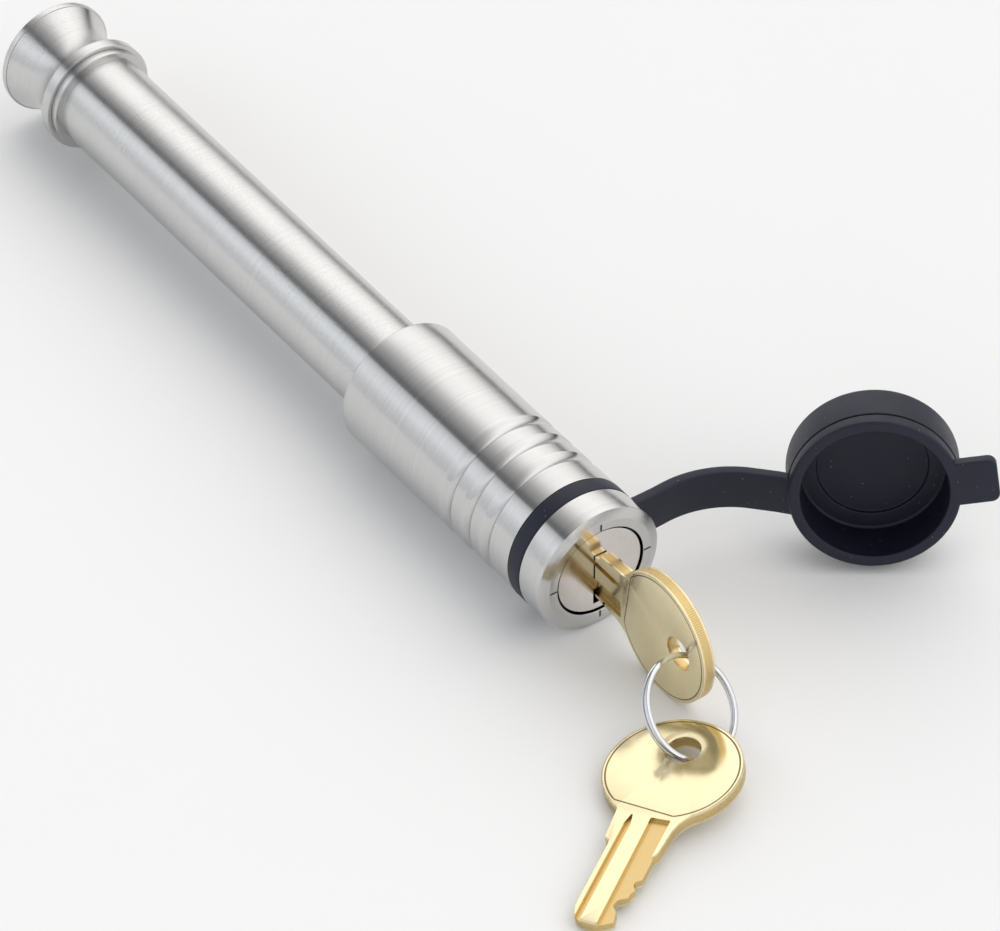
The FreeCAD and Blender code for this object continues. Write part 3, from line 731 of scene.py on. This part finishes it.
def strap_point(s):
    """Centre of the strap and its heading; s equals y as far as the bend."""
    if s <= STRAP_S_ARC:
        return Vector((STRAP_X, s)), Vector((0, 1))
    if s <= STRAP_S_TAIL:
        a = (s - STRAP_S_ARC) / STRAP_ARC_R
        outward = Vector((-math.cos(a), math.sin(a)))
        return STRAP_BEND + STRAP_ARC_R * outward, Vector((math.sin(a), math.cos(a)))
    past = STRAP_BEND + STRAP_ARC_R * Vector((-math.cos(STRAP_TURN), math.sin(STRAP_TURN)))
    return past + HEADING * (s - STRAP_S_TAIL), HEADING


def add_strap(bm, first, last, cap_last=False):
    """Strap between two lengths along it, open at the ends unless cap_last."""
    section = rounded([(-STRAP_T / 2, -STRAP_HALF), (STRAP_T / 2, -STRAP_HALF), (STRAP_T / 2, STRAP_HALF),
                       (-STRAP_T / 2, STRAP_HALF)], STRAP_CORNER, closed=True, steps=4)
    steps = max(2, int((last - first) / STRAP_SPACING))
    rows = []
    for k in range(steps + 1):
        s = first + (last - first) * k / steps
        centre, heading = strap_point(s)
        z = STRAP_RISE * min(max((s - STRAP_ROOT_Y) / (STRAP_S_END - STRAP_ROOT_Y), 0.0), 1.0)
        rows.append([bm.verts.new((centre.x + heading.y * p.x, centre.y - heading.x * p.x, z + p.y))
                     for p in section])
    add_skin(bm, rows)
    if cap_last:
        bm.faces.new(rows[-1])


def make_band():
    bm = bmesh.new()
    ring = rounded([(BAND_LOW.x, BAND_FLOOR + 0.03, 0.1), (BAND_HIGH.x, BAND_FLOOR + 0.03, 0.1),
                    (BAND_HIGH.x, BAND_R, 0.3), (BAND_LOW.x, BAND_R, 0.3)], 0.2, closed=True)
    add_lathe(bm, ring, True)
    add_strap(bm, BAND_R - 0.6, STRAP_ROOT_Y - BEND_HALF)
    return finish_mesh("band_body", bm, 40)


def make_strap_piece(name, first, last):
    bm = bmesh.new()
    add_strap(bm, first, last)
    return finish_mesh(name, bm, 40)


def cap_frame():
    turn = Matrix.Rotation(CAP_AZIMUTH, 4, "Z") @ Matrix.Rotation(CAP_TILT, 4, "Y")
    return Matrix.Translation(Vector(CAP_AT) * MM) @ turn @ Matrix.Rotation(CAP_ROLL, 4, "X")


def make_cap():
    """Cap with its lip line, stepped cavity and pull tab; local X points out of the opening."""
    cavity_r, cavity_len = CAP_CAVITY
    floor_r, floor_len = CAP_FLOOR
    line_back, line_front = -CAP_LIP - 0.15, -CAP_LIP + 0.1
    profile = rounded([(-CAP_LEN, 0), (-CAP_LEN, CAP_R, 1.5), (line_back, CAP_R, 0.12),
                       (line_back, CAP_R - 0.3, 0.05), (line_front, CAP_R - 0.3, 0.05),
                       (line_front, CAP_R - 0.1, 0.1), (0, CAP_R - 0.1, 0.45), (0, cavity_r, 0.35),
                       (-cavity_len, cavity_r, 0.5), (-cavity_len, floor_r, 0.2), (-floor_len, floor_r, 0.2),
                       (-floor_len, 0)], 0.2)
    bm = bmesh.new()
    add_lathe(bm, profile, False, 160)
    near, far, half = TAB
    tab = rounded([(near, -half, 0), (far, -half, 1.4), (far, half, 1.4), (near, half, 0)], 1.4, closed=True,
                  steps=8)
    add_prism(bm, [tab], -STRAP_T, -0.02, 0.35, lambda p, z: (z, p.x, p.y))
    placed = Matrix.Scale(1 / MM, 4) @ cap_frame() @ Matrix.Scale(MM, 4)
    bmesh.ops.transform(bm, matrix=placed, verts=bm.verts)
    add_strap(bm, STRAP_S_END + BEND_HALF, STRAP_S_END + STUB_REACH, cap_last=True)
    return finish_mesh("cap_body", bm, 40)


# ------------------------------------------------------------------ assembly
dress(make_pin(), STEEL_PIN, "stainless", "pin", ["hitch_pin"])
dress(make_head(), STEEL_HEAD, "stainless", "lock_head", ["head_shell"])
dress(make_key("key_inserted", inserted_frame()), KEY_BRASS, "brass", "key", ["key"])
dress(make_key("key_spare", spare_frame()), KEY_BRASS, "brass", "spare_key", ["spare_key"])
dress(make_ring(), WIRE, "spring_steel", "ring", ["split_ring"])
dress(make_band(), RUBBER, "rubber", "lock_head", ["cap_band"])
dress(make_strap_piece("strap_body", STRAP_ROOT_Y + BEND_HALF, STRAP_S_END - BEND_HALF), RUBBER, "rubber",
      "strap", ["strap"])
dress(make_cap(), RUBBER, "rubber", "cap", ["dust_cap"])


def make_bend(name, middle):
    """Short stretch of strap between two bodies, attached to neither."""
    bend = dress(make_strap_piece(name, middle - BEND_HALF, middle + BEND_HALF), RUBBER, "rubber")
    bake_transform(bend)


make_bend("strap_near_bend", STRAP_ROOT_Y)
make_bend("strap_far_bend", STRAP_S_END)

CARRIED = {"pin_seal": (SEAL, "seal"), "plug": (PLUG_FACE, "plug_face")}


def carried_look(node):
    """Material and slot of a CAD node that shows as it is."""
    if "spring" in node:
        return WIRE, "spring_steel"
    if node.startswith("wafer_"):
        return WAFER_BRASS, "brass"
    return CARRIED.get(node, (STEEL_INNER, "steel_inner"))


for node, obj in frame["nodes"].items():
    if not obj.hide_render:
        dress(obj, *carried_look(node))


# ------------------------------------------------------------------ floor, light and camera
FLOOR_HALF = 4000.0


def make_floor():
    """Table top just under the head."""
    bm = bmesh.new()
    bm.faces.new([bm.verts.new((sx * FLOOR_HALF, sy * FLOOR_HALF, HEAD_LOW.z))
                  for sx, sy in ((-1, -1), (1, -1), (1, 1), (-1, 1))])
    floor = finish_mesh("floor", bm)
    floor.data.materials.append(pale_floor("pale_floor"))


# brightness of the studio by the angle, in degrees, up from +Y and over to -Y
STUDIO = ((0, 0.08), (5, 0.12), (11, 0.55), (21, 1.05), (31, 1.38), (51, 1.58), (71, 1.45), (81, 1.20),
          (91, 0.84), (101, 0.56), (111, 0.38), (120, 0.20), (126, 0.20), (128, 0.72), (139, 1.06),
          (151, 1.15), (161, 0.95), (171, 0.82), (180, 0.78))
COOL_FROM = 95
COOL_OVER = 30
WARM = (0.507, 0.5, 0.494)
COOLER = (-0.022, 0.0, 0.024)
BELOW = (0.42, 0.42, 0.42)


def make_world():
    """Soft studio of broad strips along the pin: white behind and above, a grey gap, paler in front."""
    g = Graph("studio", world=True)
    direction = g.node("ShaderNodeTexCoord").outputs["Generated"]
    parts = g.node("ShaderNodeSeparateXYZ", **{"0": direction})
    y, z = parts.outputs[1], parts.outputs[2]
    share = g.math("DIVIDE", g.math("ARCTAN2", z, y), math.pi)
    ramp = g.node("ShaderNodeValToRGB", Fac=share)
    stops = ramp.color_ramp.elements
    for i, (angle, level) in enumerate(STUDIO):
        stop = stops[i] if i < 2 else stops.new(angle / 180)
        stop.position = angle / 180
        cool = min(max((angle - COOL_FROM) / COOL_OVER, 0.0), 1.0)
        stop.color = rgb(*((warm + cooler * cool) * level for warm, cooler in zip(WARM, COOLER)))
    sky = g.mix(g.step(z, -0.01, 0.0, 1.0, 0.0), ramp.outputs[0], rgb(*BELOW))
    background = g.node("ShaderNodeBackground", Color=sky, Strength=2.0)
    g.node("ShaderNodeOutputWorld", Surface=background.outputs[0])
    bpy.context.scene.world = g.holder
    bpy.context.scene.view_settings.view_transform = "Standard"


CAMERA_AT = (0.74915, -0.48177, 0.74905)
CAMERA_RIGHT = (0.5781, 0.8160, 0.0)
CAMERA_BACK = (0.6076, -0.4305, 0.6674)
CAMERA_LENS = 263.6


def make_camera():
    """Long lens at the photograph's viewing angle, with metres for its place."""
    data = bpy.data.cameras.new("camera")
    data.lens = CAMERA_LENS
    data.sensor_width = 36.0
    data.clip_start = 0.01
    data.dof.use_dof = False
    camera = bpy.data.objects.new("camera", data)
    right = Vector(CAMERA_RIGHT)
    back = Vector(CAMERA_BACK).normalized()
    up = back.cross(right).normalized()
    rows = [(right[i], up[i], back[i], CAMERA_AT[i]) for i in range(3)]
    camera.matrix_world = Matrix(rows + [(0, 0, 0, 1)])
    bpy.context.scene.collection.objects.link(camera)
    bpy.context.scene.camera = camera


make_floor()
make_world()
make_camera()
